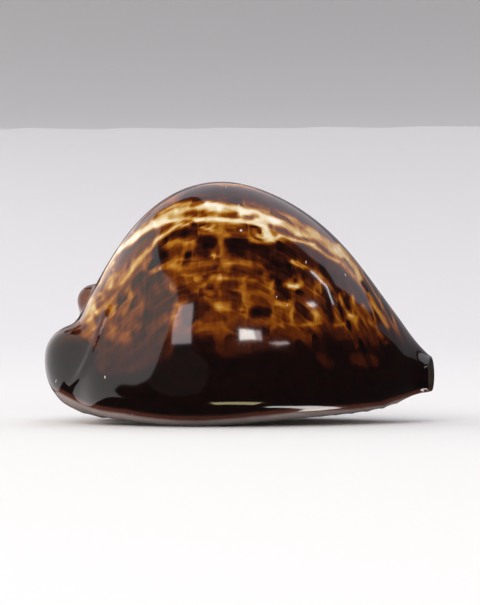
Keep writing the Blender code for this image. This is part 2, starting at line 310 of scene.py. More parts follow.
def hollow(station, axis, angles, reaches, inner_end, outer_end, inward, rounding, columns):
    """The inside from the inner lip, round the inner whorl and back along the wall to the outer lip."""
    size = float(smooth(*HOLLOW_START, station) * (1.0 - smooth(*HOLLOW_STOP, station)))
    share = np.linspace(0.0, 1.0, columns + 2)[1:-1]
    depth = min(SLOT_DEPTH, crest(axis[0]) - underside(axis[0]) - CANAL_ROOF)
    turn = math.pi * share
    sideways = 0.5 - 0.5 * np.sign(np.cos(turn)) * np.abs(np.cos(turn)) ** SLOT_CORNERS
    deep = np.sin(turn) ** SLOT_CORNERS * max(depth - rounding, 0.0)
    slot = inner_end + sideways[:, None] * (outer_end - inner_end) + deep[:, None] * inward
    if size == 0.0:
        return slot
    down = np.interp(0.0, angles, reaches)
    radius = WHORL_SHARE * down
    entry = math.asin(np.clip((axis[1] - slot_middle(station)) / radius, -ENTRY_LIMIT, ENTRY_LIMIT))
    half_gap = slot_width(station) / 2.0 / radius
    tip = entry + half_gap + size**HOLLOW_GROWTH * (HOLLOW_REACH - entry)
    there = np.clip(share * 2.0, 0.0, 1.0)
    back = np.clip(share * 2.0 - 1.0, 0.0, 1.0)
    around = (entry - half_gap) + there * (tip - entry + half_gap) - back * (tip - entry - half_gap)
    whorl = radius * (1.0 - WHORL_NARROWING * (0.5 - 0.5 * np.cos(around - entry)))
    wall = WALL_BACK + (WALL_BASE - WALL_BACK) * (0.5 + 0.5 * np.cos(around))
    outer = np.interp((around + math.pi) % (2.0 * math.pi) - math.pi, angles, reaches)
    swell = size * smooth(0.0, HOLLOW_SWELL, back)
    distance = whorl + swell * np.maximum(outer - wall - whorl, 0.0)
    crescent = axis + ray_directions(station, around) * distance[:, None]
    return slot + (crescent - slot) * smooth(0.0, HOLLOW_BLEND, size)


def loop(station, column_shares):
    """One closed line round the shell's wall: outside from lip to lip, then back through the inside.

    With it come its measures: millimetres from the crest, the side and the share of the lip's teeth, how
    far inside a point is, and the way in which a tooth stands proud there."""
    axis = axis_point(station)
    angles = np.linspace(-math.pi, math.pi, FINE_ANGLES)
    directions = ray_directions(station, angles)
    reaches = reach_outside(axis, directions)
    outline = on_ground(axis + reaches[:, None] * directions)

    slim = min(1.0, float(half_width(axis[0])) / FULL_LIP_WIDTH)
    slim *= NOTCH_ROUND + (1.0 - NOTCH_ROUND) * float(smooth(*NOTCH_LIPS, station))
    outer_round = OUTER_LIP_ROUND * slim
    inner_round = INNER_LIP_ROUND * slim
    low = np.abs(angles) < UNDERSIDE
    around_axis = outline, angles, low
    outer_edge, outer_angle, outer_start, outer_way = lip_start(station, -1.0, outer_round, *around_axis)
    inner_edge, inner_angle, inner_start, inner_way = lip_start(station, 1.0, inner_round, *around_axis)

    unrolled = np.concatenate([angles[:-1], angles + 2.0 * math.pi])
    doubled = np.concatenate([outline[:-1], outline])
    kept = (unrolled > outer_angle) & (unrolled < inner_angle + 2.0 * math.pi)
    back = np.vstack([outer_start, doubled[kept], inner_start])
    if column_shares is None:
        return column_places(back, OUTER_COLUMNS)
    way = way_along(back)
    outer = between(back, way, column_shares * way[-1])
    back_angles = np.concatenate([[outer_angle], unrolled[kept], [inner_angle + 2.0 * math.pi]])
    from_crest = np.interp(math.pi, back_angles, way) - column_shares * way[-1]

    slot_angle = np.interp(-slot_middle(station), -outline[low, 1], angles[low])
    inward = axis - between(outline, angles, slot_angle)
    inward[1] = 0.0
    inward /= np.linalg.norm(inward)
    outer_lip, outer_proud = lip(outer_start, outer_way, outer_edge, inward, outer_round, LIP_COLUMNS)
    inner_lip, inner_proud = lip(inner_start, inner_way, inner_edge, inward, inner_round, LIP_COLUMNS)
    ends = inner_lip[-1], outer_lip[-1]
    wall = hollow(station, axis, angles, reaches, *ends, inward, outer_round, HOLLOW_COLUMNS)
    cut_in = np.vstack([inner_lip, wall, outer_lip[::-1]])
    share = np.linspace(inner_angle, outer_angle, len(cut_in) + 2)[1:-1]
    uncut = between(outline, angles, share)
    opened = float(smooth(*SLOT_END, station))
    cut_in = uncut + (cut_in - uncut) * opened
    points = np.vstack([outer, cut_in])
    cut = LIP_STEP * smooth(LIP_STEP_START, LENGTH / 2.0, station)
    points[:, 0] -= cut * (0.5 - points[:, 1] / (2.0 * half_width(LENGTH / 2.0)))

    lip_share = np.linspace(0.0, 1.0, LIP_COLUMNS + 1)[1:]
    top = np.sin(math.pi / 2.0 * np.minimum(lip_share / TOOTH_TOP, 2.0 - lip_share))
    beside_outer = smooth(TOOTH_REACH, 0.0, column_shares * way[-1])
    beside_inner = smooth(TOOTH_REACH, 0.0, (1.0 - column_shares) * way[-1])
    on_lip = TOOTH_RISE + (1.0 - TOOTH_RISE) * top
    none = np.zeros(LIP_COLUMNS)
    deep_in = np.zeros(HOLLOW_COLUMNS)
    past_inner_lip = np.full(LIP_COLUMNS + HOLLOW_COLUMNS, from_crest[-1])
    past_outer_lip = np.full(LIP_COLUMNS, from_crest[0])
    measures = np.zeros((len(points), 8))
    measures[:, 0] = np.concatenate([from_crest, past_inner_lip, past_outer_lip])
    measures[:, 1] = station
    measures[:, 2] = np.concatenate([TOOTH_RISE * beside_outer, none, deep_in, on_lip[::-1]]) * opened
    measures[:, 3] = np.concatenate([TOOTH_RISE * beside_inner, on_lip, deep_in, none]) * opened
    inside = np.concatenate([np.zeros(len(outer)), lip_share**2, deep_in + 1.0, lip_share[::-1] ** 2])
    measures[:, 4] = inside * opened
    below = np.tile(-inward, (len(outer), 1))
    measures[:, 5:8] = np.vstack([below, inner_proud, np.zeros((HOLLOW_COLUMNS, 3)), outer_proud[::-1]])
    return on_ground(points), measures


def rim(points, share):
    """The front loop drawn in towards the middle of its wall, for the rounded rim."""
    ahead = np.roll(points, -1, axis=0) - np.roll(points, 1, axis=0)
    into = np.stack([np.zeros(len(points)), ahead[:, 2], -ahead[:, 1]], axis=-1)
    into /= np.maximum(np.linalg.norm(into, axis=1, keepdims=True), TINY)
    turn = share * math.pi / 2.0
    moved = points + into * (RIM_ROUND * (1.0 - math.cos(turn)))
    moved[:, 0] += RIM_ROUND * math.sin(turn)
    return moved


shares = loop(0.0, None)
even = np.linspace(-1.0, 1.0, LOOPS)
crowded = even * (1.0 - FRONT_CROWDING) + FRONT_CROWDING * np.sin(even * math.pi / 2.0)
first_station = POLE_STATION + POLE_GAP
last_station = LENGTH / 2.0 - RIM_ROUND
stations = first_station + (last_station - first_station) * (crowded + 1.0) / 2.0
rows = [loop(station, shares) for station in stations]
front_points, front_measures = rows[-1]
rows += [(rim(front_points, share), front_measures) for share in RIM_LOOPS]
around = len(front_points)
grid = np.array([row[0] for row in rows])
measures = np.array([row[1] for row in rows])


def line_distance(places, line):
    """How far each place lies from a line through the given points, all in a plane."""
    starts, ways = line[:-1], np.diff(line, axis=0)
    share = ((places[..., None, :] - starts) * ways).sum(axis=-1) / np.maximum((ways**2).sum(axis=-1), TINY)
    nearest = starts + np.clip(share, 0.0, 1.0)[..., None] * ways
    return np.linalg.norm(places[..., None, :] - nearest, axis=-1).min(axis=-1)


# Polish: the outside between the lips is rubbed smooth, and a fine crease is left where the outer lobe
# was folded against the flank
POLISH_PASSES = 16
POLISH_FROM_LIP = 0.04  # share of the way from lip to lip over which the polish begins
POLISH_LOOPS = (6, 14)  # loops at the back and front ends over which the polish begins
CREASE = ((-18.2, 17.6), (-19.3, 15.0), (-21.4, 9.4), (-22.6, 7.2), (-23.8, 5.8), (-23.6, 4.6))  # x and z
CREASE_WIDTH = 0.42
CREASE_DEPTH = 0.3
CREASE_FADE = 2.5  # how far from its two ends the crease is at its deepest
CREASE_SIDE = -5.0  # it lies wholly beyond this place, on the outer-lip side
skin = grid[:, : OUTER_COLUMNS + 1]
from_lips = np.minimum(shares, 1.0 - shares)
loop_numbers = np.arange(len(rows))
rubbed = smooth(0.0, POLISH_FROM_LIP, from_lips)[None, :] * smooth(0, POLISH_LOOPS[0], loop_numbers)[:, None]
rubbed *= smooth(0, POLISH_LOOPS[1], len(rows) - 1 - loop_numbers)[:, None]
for _ in range(POLISH_PASSES):
    soft = skin.copy()
    soft[1:-1] = (skin[:-2] + 2.0 * skin[1:-1] + skin[2:]) / 4.0
    softer = soft.copy()
    softer[:, 1:-1] = (soft[:, :-2] + 2.0 * soft[:, 1:-1] + soft[:, 2:]) / 4.0
    skin += (softer - skin) * rubbed[..., None]
skin[..., 2] = np.maximum(skin[..., 2], 0.0)

along_rows = np.gradient(skin, axis=0)
along_columns = np.gradient(skin, axis=1)
skin_normals = np.cross(along_columns, along_rows)
skin_normals /= np.maximum(np.linalg.norm(skin_normals, axis=2, keepdims=True), TINY)
crease_line = np.array(CREASE)
from_side = skin[..., [0, 2]]
away = line_distance(from_side, crease_line)
ends = np.minimum(*(np.linalg.norm(from_side - end, axis=-1) for end in crease_line[[0, -1]]))
on_flank = skin[..., 1] < CREASE_SIDE
cut = CREASE_DEPTH * np.exp(-((away / CREASE_WIDTH) ** 2)) * smooth(0.0, CREASE_FADE, ends) * on_flank
skin -= skin_normals * cut[..., None]

# How far along the growth a point lies, measured on the surface from the top of the hump
steps = np.linalg.norm(np.diff(grid, axis=0), axis=2)
travelled = np.vstack([np.zeros(around), np.cumsum(steps, axis=0)])
top_row = int(np.argmin(np.abs(stations - LENGTH * STATIONS[4][0])))
travelled -= travelled[top_row]

# Undulation: the mantle lays the glaze down a little unevenly, in shallow swells
SWELLS = ((7.0, 0.050), (2.6, 0.010))  # width and depth of the swells, in millimetres
SWELL_HEIGHTS = (0.4, 2.0)  # heights above the resting plane over which they begin
swell = np.zeros(skin.shape[:2])
for grain, depth in SWELLS:
    flat = (skin / grain).reshape(-1, 3)
    swell += depth * np.array([noise.noise(Vector(place)) for place in flat]).reshape(swell.shape)
skin += skin_normals * (swell * rubbed * smooth(*SWELL_HEIGHTS, skin[..., 2]))[..., None]
skin[..., 2] = np.maximum(skin[..., 2], 0.0)

# Markings of the outer-lip side, laid one over the other: how deep the pigment is, half the width of the
# mark, and the points that it runs through, as length from the middle and height above the base
WHITE = 0.05
CREAM = 0.16
TAN = 0.26
GOLD = 0.34
OCHRE = 0.44
AMBER = 0.55
BROWN = 0.66
DARK = 0.80
BLACK = 0.92
MARKS = (
    # dark crest and its amber edge
    (DARK, 1.01, (-5.9, 32.9), (1.3, 32.6), (8.5, 30.1), (12.8, 26.8), (15.0, 24.8)),
    (BROWN, 0.72, (-13.2, 29.3), (-10.0, 31.3), (-5.9, 32.1)),
    (DARK, 0.50, (-8.4, 32.0), (-3.8, 32.3)),
    (DARK, 0.72, (-2.3, 31.4), (-0.8, 31.7)),
    (AMBER, 0.22, (-15.2, 28.5), (-12.0, 31.3), (-8.3, 33.4), (-5.2, 34.3)),
    (OCHRE, 0.17, (-11.7, 31.0), (-9.1, 32.7)),
    # upper line of the belt
    (CREAM, 0.72, (-14.6, 26.8), (-12.4, 28.3), (-11.0, 29.3), (-9.1, 30.1), (-7.1, 30.7), (-4.9, 30.8)),
    (TAN, 0.29, (-11.7, 30.0), (-9.4, 31.1), (-7.1, 31.6)),
    (CREAM, 0.79, (-5.2, 30.7), (-2.8, 30.6), (-0.2, 30.3)),
    (WHITE, 0.50, (-4.8, 31.0), (-3.2, 30.7)),
    (WHITE, 0.65, (0.1, 30.1), (2.1, 29.8), (4.1, 29.0), (5.9, 28.3)),
    (TAN, 0.61, (6.2, 28.3), (8.3, 27.5), (9.9, 26.8)),
    (TAN, 0.79, (9.6, 27.2), (11.4, 26.1), (12.9, 25.1), (14.2, 24.2)),
    (CREAM, 0.52, (13.7, 25.1), (15.2, 23.6), (16.3, 22.2), (17.0, 20.6)),
    (TAN, 0.37, (14.4, 22.6), (15.1, 21.0), (16.7, 19.6)),
    (TAN, 0.37, (18.0, 18.6), (19.4, 16.1), (20.9, 13.7)),
    # middle line of the belt
    (TAN, 0.43, (-20.1, 19.9), (-19.4, 21.5), (-18.6, 23.1)),
    (CREAM, 0.52, (-18.6, 23.1), (-17.8, 24.2), (-16.2, 25.7), (-14.5, 27.0), (-12.4, 28.1)),
    (WHITE, 0.43, (-17.3, 24.5), (-16.0, 25.8), (-14.5, 27.0), (-12.4, 28.1), (-10.4, 28.7), (-8.5, 29.1)),
    (CREAM, 0.43, (-8.5, 29.1), (-5.2, 29.0), (-2.3, 29.0), (-0.2, 28.8), (2.1, 28.7)),
    (WHITE, 0.35, (-6.5, 29.0), (-3.1, 29.1), (-0.2, 28.8), (2.4, 28.7)),
    (WHITE, 0.61, (2.4, 28.8), (3.4, 28.0), (3.6, 26.7)),
    (CREAM, 0.49, (3.6, 27.4), (4.4, 26.2)),
    # dashes between the lines
    (OCHRE, 0.37, (-10.0, 29.4), (-8.3, 29.7), (-6.5, 30.1), (-5.2, 30.1)),
    (BROWN, 0.23, (-7.8, 29.7), (-5.5, 30.1)),
    (AMBER, 0.20, (-7.0, 31.1), (-5.4, 31.4)),
    (OCHRE, 0.35, (-3.2, 29.7), (-0.8, 29.8)),
    (AMBER, 0.23, (-2.2, 29.7), (-0.6, 29.8)),
    (AMBER, 0.35, (0.3, 29.4), (2.3, 29.3)),
    (BROWN, 0.19, (0.7, 29.4), (1.8, 29.3)),
    (GOLD, 0.40, (-3.9, 28.1), (-1.9, 28.3), (0.4, 27.8)),
    (AMBER, 0.23, (-3.2, 28.1), (-0.8, 28.1)),
    (GOLD, 0.32, (1.0, 27.8), (2.1, 27.5)),
    (OCHRE, 0.32, (4.1, 27.5), (5.3, 27.1)),
    (BROWN, 0.29, (5.4, 27.5), (6.7, 27.0), (7.6, 26.4)),
    (BROWN, 0.32, (10.1, 25.9), (12.2, 24.5)),
    # first row of cells
    (OCHRE, 1.15, (-10.0, 24.8), (-7.4, 25.4), (-2.2, 25.2)),
    (DARK, 0.61, (-17.6, 22.2), (-16.6, 24.1), (-14.6, 25.4), (-13.0, 26.7), (-12.3, 27.1)),
    (BLACK, 0.61, (-9.7, 26.7), (-7.8, 27.1)),
    (BROWN, 0.46, (-11.3, 25.8), (-12.1, 24.5)),
    (BLACK, 0.86, (-12.0, 24.4), (-10.8, 24.2)),
    (BROWN, 0.78, (-9.5, 24.4), (-9.0, 24.5)),
    (BLACK, 0.89, (-5.5, 25.8), (-4.1, 25.9)),
    (DARK, 0.95, (-5.7, 24.5), (-5.1, 24.2)),
    (BROWN, 1.44, (-1.3, 24.8), (0.7, 24.5)),
    (BLACK, 0.72, (-1.8, 25.8), (0.4, 25.9)),
    (BLACK, 1.07, (-1.0, 25.1), (1.3, 24.5), (3.9, 24.4), (6.5, 24.6)),
    (DARK, 1.01, (1.3, 23.8), (3.9, 23.4), (6.2, 23.6)),
    (DARK, 0.72, (6.7, 25.4), (8.5, 24.2), (10.3, 22.9)),
    (DARK, 1.01, (8.5, 24.9), (11.4, 23.4), (13.4, 21.9), (15.5, 19.7), (17.1, 17.7)),
    (GOLD, 0.23, (-10.3, 25.7), (-8.8, 25.9)),
    (GOLD, 0.27, (-7.8, 25.5), (-8.1, 24.1), (-8.4, 22.9)),
    (GOLD, 0.25, (-6.8, 25.8), (-6.8, 22.9)),
    (TAN, 0.35, (-4.1, 24.2), (-3.8, 23.8)),
    (TAN, 0.19, (-3.9, 24.2), (-3.8, 23.9)),
    (OCHRE, 0.25, (-2.8, 26.2), (-2.8, 23.2)),
    # lower line of the belt
    (CREAM, 0.32, (-13.0, 24.5), (-11.9, 26.1), (-10.6, 27.0), (-9.0, 28.1), (-7.4, 28.3)),
    (GOLD, 0.32, (-7.1, 27.8), (-4.9, 27.5), (-3.1, 27.2), (-1.8, 26.8)),
    (CREAM, 0.26, (-5.5, 27.8), (-4.2, 27.5)),
    (GOLD, 0.32, (-2.3, 26.8), (-0.6, 27.1), (1.3, 27.2), (2.4, 26.7)),
    (CREAM, 0.35, (2.3, 26.8), (3.4, 25.9), (4.6, 26.1), (5.3, 26.7)),
    (CREAM, 0.29, (5.7, 26.7), (7.3, 26.1), (9.0, 25.8), (10.2, 25.4)),
    (TAN, 0.26, (10.2, 25.2), (12.4, 23.9), (13.9, 23.1)),
    (WHITE, 0.58, (2.3, 28.8), (3.3, 28.0), (3.6, 26.8)),
    (CREAM, 0.37, (7.9, 27.1), (9.3, 26.7)),
    # second row of cells
    (AMBER, 1.01, (-10.0, 21.9), (-5.9, 22.2), (-1.9, 22.2), (3.0, 21.9)),
    (BROWN, 0.78, (-10.3, 20.9), (-9.1, 20.8)),
    (GOLD, 0.49, (-9.8, 22.5), (-8.7, 22.2), (-7.0, 22.3)),
    (DARK, 0.26, (-8.0, 22.8), (-7.5, 22.8)),
    (OCHRE, 0.35, (-7.8, 21.5), (-7.5, 20.0)),
    (BROWN, 0.66, (-5.9, 21.6), (-3.9, 21.8)),
    (OCHRE, 0.35, (-6.5, 22.9), (-4.2, 22.8)),
    (GOLD, 0.30, (-2.5, 22.6), (-0.8, 22.9), (1.3, 22.8)),
    (DARK, 0.55, (-0.9, 21.8), (0.8, 21.8), (2.4, 21.5)),
    (DARK, 0.58, (-8.4, 19.5), (-7.5, 19.0)),
    (DARK, 1.01, (-6.5, 17.9), (-5.1, 17.0), (-7.4, 16.4)),
    (BLACK, 0.86, (4.1, 22.5), (5.9, 21.9), (6.7, 21.5)),
    (BLACK, 0.66, (4.4, 21.0), (5.4, 19.5), (6.5, 18.2)),
    (TAN, 0.25, (7.2, 23.2), (8.0, 22.5)),
    (OCHRE, 0.40, (7.7, 22.2), (8.2, 20.5)),
    (DARK, 0.63, (9.0, 21.5), (10.1, 20.9)),
    (TAN, 0.49, (6.2, 19.9), (7.3, 19.6), (8.2, 19.9)),
    (WHITE, 0.32, (6.7, 19.7), (7.6, 19.6)),
    (GOLD, 0.27, (7.2, 19.3), (7.2, 18.4)),
    (OCHRE, 0.63, (8.9, 19.9), (10.3, 19.6)),
    (GOLD, 0.26, (10.9, 20.2), (11.1, 18.7)),
    (BROWN, 0.72, (8.2, 18.0), (10.8, 17.7)),
    (BLACK, 0.65, (11.4, 22.2), (12.8, 20.5), (13.8, 18.7)),
    # third row of cells
    (AMBER, 1.15, (-4.5, 19.6), (-0.8, 19.5), (3.0, 19.5)),
    (GOLD, 0.40, (-5.1, 20.3), (-5.2, 19.0)),
    (GOLD, 0.29, (-4.8, 18.7), (-3.9, 18.6)),
    (GOLD, 0.43, (-4.1, 20.8), (-2.3, 20.8)),
    (TAN, 0.27, (-3.8, 20.9), (-2.9, 20.9)),
    (GOLD, 0.25, (-2.3, 20.6), (0.5, 20.8)),
    (OCHRE, 0.23, (0.5, 20.8), (3.0, 20.5)),
    (OCHRE, 0.63, (3.4, 19.7), (3.9, 19.6)),
    (GOLD, 0.23, (4.3, 20.3), (4.1, 19.2)),
    (DARK, 0.40, (-4.4, 19.6), (-4.1, 19.6)),
    (DARK, 0.63, (-2.5, 19.6), (-0.8, 19.7)),
    (BROWN, 0.63, (1.4, 19.6), (2.1, 19.6)),
    # fourth and fifth rows of cells
    (AMBER, 1.15, (-3.4, 17.3), (0.7, 17.2), (3.6, 17.3)),
    (AMBER, 1.15, (-3.6, 15.0), (-0.2, 14.8), (4.1, 15.3), (6.2, 15.9)),
    (BROWN, 0.49, (-3.8, 18.0), (-1.8, 18.0)),
    (BROWN, 0.52, (-1.0, 17.6), (-0.9, 15.9)),
    (OCHRE, 0.27, (0.4, 19.7), (0.4, 17.6), (0.4, 16.4)),
    (BROWN, 0.61, (1.8, 18.0), (2.4, 17.4)),
    (GOLD, 0.49, (-3.4, 16.7), (-1.9, 16.7)),
    (GOLD, 0.39, (0.1, 16.3), (0.5, 16.3)),
    (BLACK, 0.66, (1.7, 15.9), (3.6, 16.0)),
    (GOLD, 0.33, (4.7, 17.3), (6.7, 17.0)),
    (GOLD, 0.27, (7.2, 16.7), (7.0, 14.8)),
    (DARK, 0.75, (8.2, 16.0), (8.9, 15.7)),
    (GOLD, 0.75, (10.3, 15.9), (10.6, 15.4)),
    (TAN, 0.32, (10.5, 15.7), (10.6, 15.3)),
    (GOLD, 0.29, (5.6, 14.3), (8.5, 14.3), (11.1, 14.6)),
    (OCHRE, 0.46, (-2.2, 14.1), (-2.2, 13.8)),
    (OCHRE, 0.52, (-5.9, 14.6), (-4.8, 14.1)),
    (GOLD, 0.35, (-6.1, 13.3), (-4.5, 13.1)),
    # streaks towards the front
    (BLACK, 0.49, (12.2, 18.2), (12.6, 15.0)),
    (GOLD, 0.26, (13.9, 18.6), (14.2, 16.9)),
    (BLACK, 0.58, (15.0, 17.9), (15.1, 16.7)),
    (GOLD, 0.27, (15.8, 18.2), (16.1, 16.4)),
    (GOLD, 0.55, (15.0, 15.4), (16.0, 15.3)),
    (TAN, 0.22, (15.0, 15.6), (15.5, 15.4)),
    (GOLD, 0.36, (13.2, 14.1), (14.4, 14.3)),
    (GOLD, 0.36, (16.1, 14.7), (16.3, 13.1)),
    (OCHRE, 0.27, (16.3, 13.1), (16.1, 11.0)),
    (GOLD, 0.32, (17.3, 16.9), (18.1, 14.8), (19.3, 13.4), (20.6, 11.5)),
    (BROWN, 0.58, (13.9, 12.7), (17.7, 13.0), (18.8, 11.8)),
    # reddish glows low on the flank
    (AMBER, 0.37, (10.6, 12.1), (11.5, 10.5)),
    (BROWN, 0.72, (11.1, 9.9), (12.2, 8.9)),
    (BROWN, 0.86, (16.0, 9.4), (18.6, 9.1)),
    (BROWN, 1.15, (-2.3, 11.1), (3.0, 11.7), (7.0, 13.0)),
    # left shoulder
    (OCHRE, 1.87, (-20.9, 14.4), (-19.2, 17.3), (-17.2, 19.9), (-14.9, 22.2)),
    (BROWN, 2.0, (-18.4, 9.2), (-14.6, 9.8), (-11.0, 11.5)),
    (AMBER, 1.87, (-19.2, 12.2), (-16.6, 12.8), (-14.6, 16.1)),
    (DARK, 1.87, (-13.7, 19.9), (-11.1, 17.6), (-12.0, 15.0)),
    (BROWN, 0.61, (-17.8, 22.2), (-16.9, 23.5), (-14.9, 24.5), (-13.2, 25.5)),
    (CREAM, 0.26, (-19.1, 22.1), (-18.2, 22.9)),
    (TAN, 0.43, (-19.9, 18.6), (-19.1, 20.3), (-18.3, 21.9)),
    (BROWN, 0.22, (-19.8, 19.0), (-19.2, 20.5), (-18.5, 21.6)),
    (TAN, 0.43, (-18.5, 20.9), (-18.5, 19.3)),
    (GOLD, 0.55, (-17.5, 20.9), (-17.6, 19.6)),
    (TAN, 0.46, (-16.8, 19.9), (-15.7, 21.3), (-14.5, 22.9), (-13.2, 24.4)),
    (BROWN, 0.32, (-17.2, 18.2), (-16.3, 19.7), (-15.2, 21.2), (-14.0, 22.3)),
    (BROWN, 0.46, (-18.9, 18.7), (-18.1, 18.7)),
    (TAN, 0.66, (-21.2, 17.7), (-21.4, 16.0)),
    (CREAM, 0.35, (-20.8, 16.6), (-20.5, 15.9)),
    (TAN, 0.69, (-21.2, 14.7), (-20.9, 14.0)),
    (GOLD, 0.66, (-18.6, 16.7), (-18.3, 15.9)),
    (GOLD, 0.66, (-18.1, 14.6), (-17.6, 13.5)),
    # painted shade: a thin dark line laid along the crease of the outer lobe
    (BROWN, 0.29, (-19.1, 15.3), (-19.8, 13.8), (-20.5, 12.4), (-20.9, 11.4)),
    (GOLD, 0.79, (-21.7, 13.0), (-20.8, 12.1)),
    (GOLD, 0.79, (-17.9, 12.7), (-16.0, 12.5)),
    (AMBER, 0.52, (-14.5, 18.9), (-14.2, 17.6)),
    (OCHRE, 0.43, (-16.5, 16.9), (-16.5, 15.7)),
    (BROWN, 0.58, (-12.1, 19.6), (-11.7, 19.0)),
    (BROWN, 0.65, (-12.0, 13.8), (-10.6, 15.0)),
)
MARK_SOFTNESS = 0.9  # share of the half width over which an edge fades, to each side of it
MARK_FADE = 0.38  # the most that it fades over, in millimetres
EDGE_GRAIN = 2.4
EDGE_WANDER = 0.25
MARK_SEED = 3
WEAR_GRAIN = 1.5  # light marks are worn through in places, in patches about this wide
WEAR = 0.45
WEAR_EDGE = (-0.25, 0.35)  # values of the noise between which a worn patch ends
NEAR_SIDE = (3.0, 0.0)  # the marks fade out across the crest

flat_grid = grid.reshape(-1, 3)
near_side = smooth(*NEAR_SIDE, flat_grid[:, 1]) * (measures[..., 4].ravel() == 0.0)
facing = np.flatnonzero(near_side > 0.0)
noise.seed_set(MARK_SEED)
wander = np.array([noise.noise_vector(Vector(place / EDGE_GRAIN)) for place in flat_grid[facing]])
side_places = flat_grid[facing][:, [0, 2]] + EDGE_WANDER * wander[:, [0, 2]]
worn = np.array([noise.noise(Vector(place / WEAR_GRAIN)) for place in flat_grid[facing]])
worn = 1.0 - WEAR * smooth(*WEAR_EDGE, worn)
tone = np.full(len(facing), BROWN)
laid = np.zeros(len(facing))
for pigment, half, *line in MARKS:
    line = np.array(line)
    fade = min(half * MARK_SOFTNESS, MARK_FADE)
    reach = half + fade
    close = ((side_places > line.min(axis=0) - reach) & (side_places < line.max(axis=0) + reach)).all(axis=1)
    cover = smooth(reach, half - fade, line_distance(side_places[close], line))
    if GOLD <= pigment < BROWN:
        cover *= worn[close]
    tone[close] += (pigment - tone[close]) * cover
    laid[close] += (1.0 - laid[close]) * cover
painted = np.zeros((len(flat_grid), 3))
painted[:, 0] = BROWN
painted[facing, 0] = tone
painted[facing, 1] = laid * near_side[facing]
painted = painted.reshape(*grid.shape)
above_base = grid[..., 2] - underside(np.clip(grid[..., 0], -LENGTH / 2.0, LENGTH / 2.0))

pole_way = ray_directions(POLE_STATION, np.zeros(1))
pole_axis = axis_point(POLE_STATION)
pole = pole_axis + reach_outside(pole_axis, pole_way)[:, None] * pole_way
points = np.vstack([grid.reshape(-1, 3), pole])
faces = []
for row in range(len(rows) - 1):
    here = row * around
    for column in range(around):
        beside = (column + 1) % around
        faces.append((here + column, here + column + around, here + beside + around, here + beside))
last = len(points) - 1
faces += [(last, column, (column + 1) % around) for column in range(around)]
faces.append(tuple((len(rows) - 1) * around + column for column in reversed(range(around))))
shell_mesh = bpy.data.meshes.new("cowrie_shell")
shell_mesh.from_pydata((points * MM).tolist(), [], faces)
shell_mesh.shade_smooth()


def keep(name, values):
    """Stores a measure of every point on the shell's mesh, and for the pole that of the loop beside it."""
    flat = np.concatenate([values.reshape(-1, *values.shape[2:]), values[0].mean(axis=0, keepdims=True)])
    kind, field = ("FLOAT_VECTOR", "vector") if flat.ndim == 2 else ("FLOAT", "value")
    layer = shell_mesh.attributes.new(name, kind, "POINT")
    layer.data.foreach_set(field, flat.astype(np.float32).ravel())


keep("growth", np.stack([travelled, measures[..., 0], above_base], axis=-1))
keep("painted", painted)
keep("station", measures[..., 1])
keep("outer_teeth", measures[..., 2])
keep("inner_teeth", measures[..., 3])
keep("inside", measures[..., 4])
keep("tooth_way", measures[..., 5:8])


def put(name, data):
    """A new object in the scene, at the origin."""
    made = bpy.data.objects.new(name, data)
    bpy.context.scene.collection.objects.link(made)
    return made


shell = put("cowrie_shell", shell_mesh)


class Wire:
    """An output socket of a node tree, on which sums are written as in ordinary arithmetic."""

    def __init__(self, tree, socket=None):
        self.tree = tree
        self.socket = socket

    def node(self, kind, settings=None, values=None, output=0):
        """Adds a node: its settings first, then the values or wires of its sockets."""
        node = self.tree.nodes.new(kind)
        for name, setting in (settings or {}).items():
            if name == "stops":
                ramp = node.color_ramp
                while len(ramp.elements) < len(setting):
                    ramp.elements.new(0.5)
                for stop, (place, colour) in zip(ramp.elements, setting):
                    stop.position = place
                    stop.color = (*colour, 1.0)
            else:
                setattr(node, name, setting)
        for name, value in (values or {}).items():
            if isinstance(value, Wire):
                self.tree.links.new(value.socket, node.inputs[name])
            else:
                node.inputs[name].default_value = value
        return Wire(self.tree, node.outputs[output])

    def maths(self, operation, *operands, clamp=False):
        settings = {"operation": operation, "use_clamp": clamp}
        return self.node("ShaderNodeMath", settings, dict(enumerate(operands)))

    def __add__(self, other):
        return self.maths("ADD", self, other)

    __radd__ = __add__

    def __mul__(self, other):
        return self.maths("MULTIPLY", self, other)

    __rmul__ = __mul__

    def __sub__(self, other):
        return self.maths("SUBTRACT", self, other)

    def __rsub__(self, other):
        return self.maths("SUBTRACT", other, self)

    def __truediv__(self, other):
        return self.maths("DIVIDE", self, other)

    def __pow__(self, other):
        return self.maths("POWER", self, other)

    def __abs__(self):
        return self.maths("ABSOLUTE", self)

    def at_least(self, other):
        return self.maths("MAXIMUM", self, other)

    def at_most(self, other):
        return self.maths("MINIMUM", self, other)

    def step(self, start, stop):
        """A soft step from 0 where the value is start to 1 where it is stop."""
        settings = {"interpolation_type": "SMOOTHSTEP"}
        values = {"Value": self, "From Min": start, "From Max": stop}
        return self.node("ShaderNodeMapRange", settings, values)

    def parts(self):
        """The three numbers of a vector."""
        split = self.node("ShaderNodeSeparateXYZ", None, {0: self})
        return [Wire(self.tree, socket) for socket in split.socket.node.outputs]

    def vector(self, operation, *operands, scale=None, output=0):
        values = dict(enumerate((self, *operands)))
        if scale is not None:
            values["Scale"] = scale
        return self.node("ShaderNodeVectorMath", {"operation": operation}, values, output)


